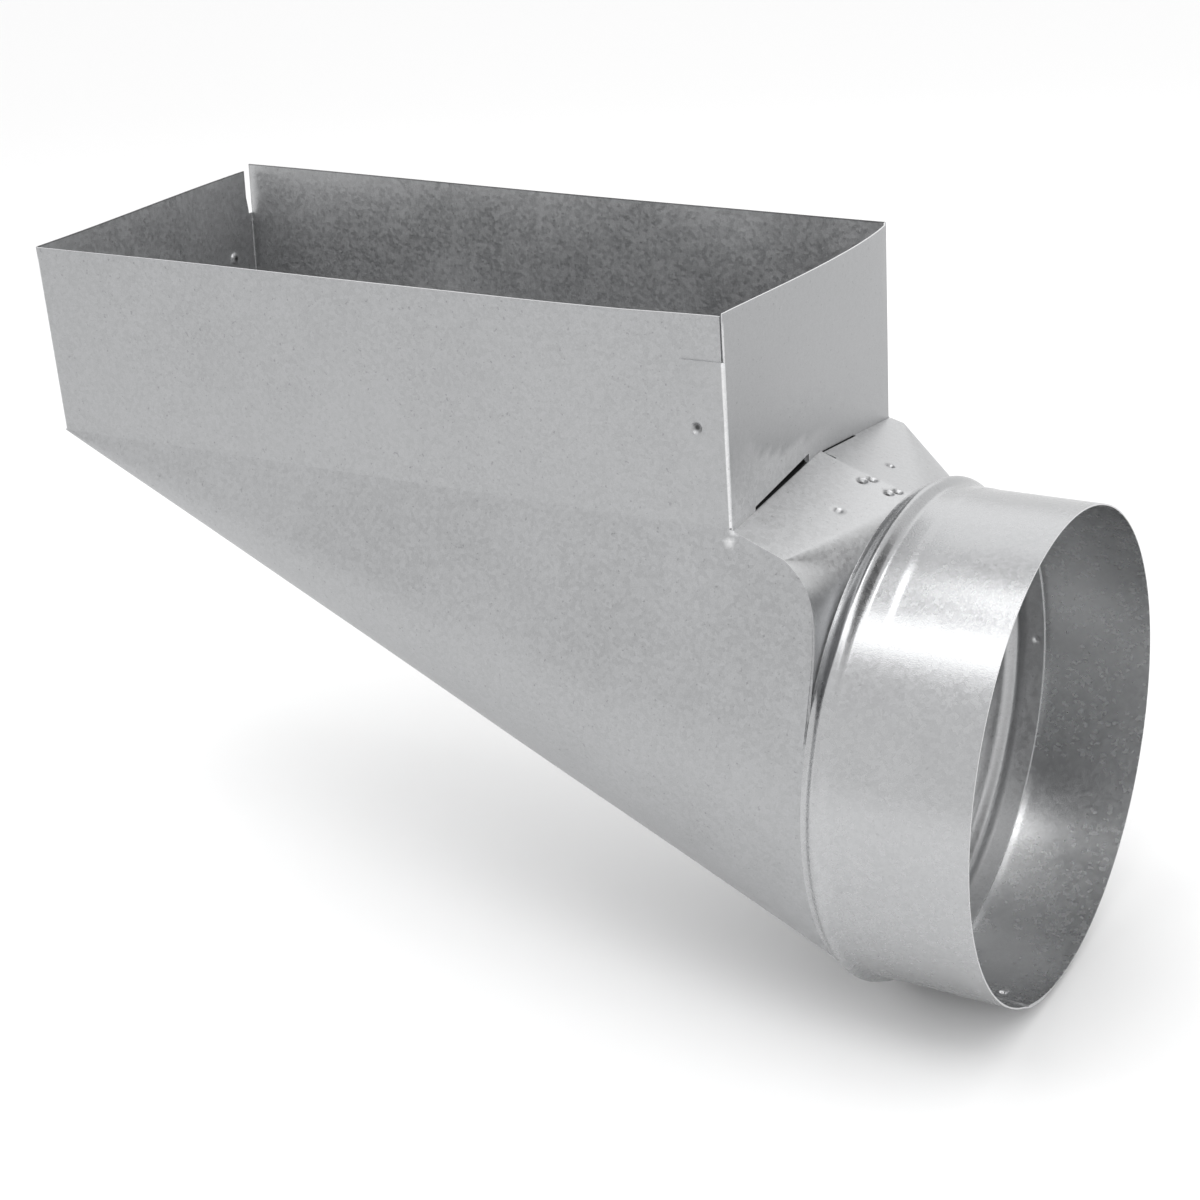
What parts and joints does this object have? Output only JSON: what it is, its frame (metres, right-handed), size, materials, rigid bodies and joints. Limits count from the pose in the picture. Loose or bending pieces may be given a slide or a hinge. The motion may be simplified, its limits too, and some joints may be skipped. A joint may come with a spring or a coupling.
{
  "type": "register boot",
  "caption": "Galvanised sheet-metal end register boot: open rectangular throat over a sloping trough that runs into a beaded round duct collar.",
  "frame": {"origin": "centre of the rectangular register opening, in the plane of its rim", "axes": "+Z out of the register opening, +X out of the round collar, front panel facing -Y"},
  "size_m": [0.3415, 0.1588, 0.2282],
  "materials": {
    "body_sheet": "galvanised sheet steel, dull light grey zinc with a faint mottle",
    "collar_sheet": "galvanised sheet steel, dull light grey zinc with a faint mottle"
  },
  "bodies": {
    "root": {"boot_body": "body_sheet", "round_collar": "collar_sheet"}
  },
  "joints": []
}
